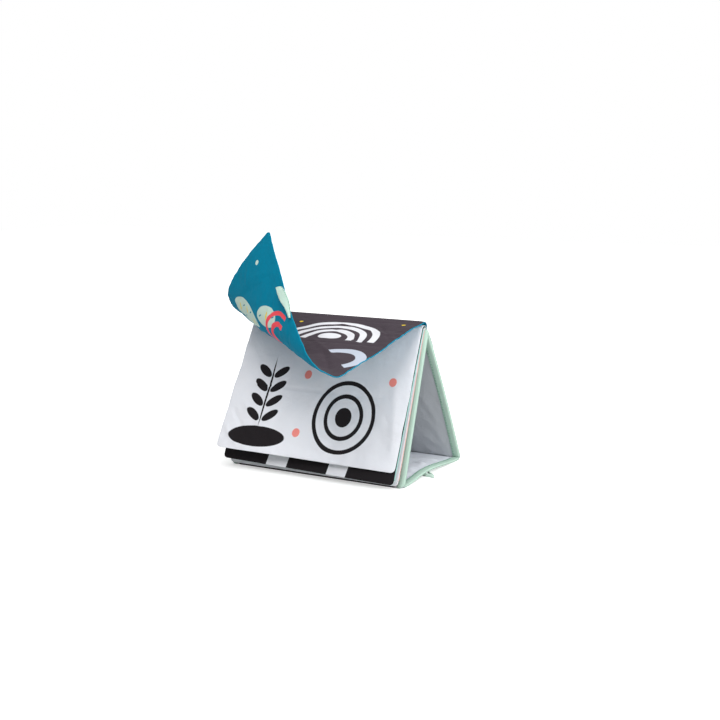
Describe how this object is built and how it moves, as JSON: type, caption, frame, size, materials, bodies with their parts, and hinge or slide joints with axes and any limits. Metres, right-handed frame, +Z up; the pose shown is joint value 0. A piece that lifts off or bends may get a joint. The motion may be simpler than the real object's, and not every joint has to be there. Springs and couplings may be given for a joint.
{
  "type": "tummy time book",
  "caption": "Soft cloth book that stands as an easel: padded printed leaves hang from its ridge, the outer leaf lifted, over stiffened covers whose feet a folding cloth base joins.",
  "frame": {"origin": "middle of the flat foot of the front cover, on the surface that the book stands on", "axes": "+X along the ridge, to the right as the leaves' side is seen; +Y from the front cover's foot to the back cover's; +Z up"},
  "size_m": [0.1848, 0.2233, 0.218],
  "materials": {
    "cover_cloth": "matt woven cloth",
    "dark_facing": "matt woven cloth",
    "base_lining": "matt woven cloth",
    "card_board": "smooth grey board",
    "binding_tape": "matt woven cloth",
    "dark_cloth": "matt woven cloth",
    "teal_cloth": "matt woven cloth",
    "tab_cloth": "matt woven cloth",
    "white_cloth": "matt woven cloth",
    "pale_mint_cloth": "matt woven cloth",
    "black_cloth": "matt woven cloth",
    "pink_cloth": "matt woven cloth",
    "white_print": "matt woven cloth",
    "black_print": "matt woven cloth",
    "coral_print": "matt woven cloth"
  },
  "bodies": {
    "front_cover": {"front_cover_cloth": "cover_cloth", "spine_strip": "cover_cloth", "front_cover_facing": "dark_facing", "base_cloth": "base_lining", "front_cover_board": "card_board", "front_binding_right": "binding_tape", "front_binding_left": "binding_tape", "base_binding_right": "binding_tape", "base_binding_left": "binding_tape", "fold_strap": "binding_tape", "leaf_1_front_cloth": "dark_cloth", "leaf_1_back_cloth": "teal_cloth", "leaf_1_tab": "tab_cloth", "leaf_2_front_cloth": "white_cloth", "leaf_4_front_cloth": "white_cloth", "leaf_2_back_cloth": "pale_mint_cloth", "leaf_3_back_cloth": "pale_mint_cloth", "leaf_3_front_cloth": "black_cloth", "leaf_4_back_cloth": "pink_cloth", "leaf_3_bars": "white_print", "leaf_2_black_print": "black_print", "leaf_2_coral_print": "coral_print"},
    "back_cover": {"back_cover_cloth": "cover_cloth", "back_cover_board": "card_board", "back_binding_right": "binding_tape", "back_binding_left": "binding_tape"}
  },
  "joints": [
    {"name": "ridge_fold", "type": "hinge", "parent": "front_cover", "child": "back_cover", "pos_m": [0, 0.04402, 0.12537], "axis": [-1, 0, 0], "range_deg": [0, 42], "deforming": ["base_cloth", "base_binding_right", "base_binding_left", "fold_strap"]}
  ]
}
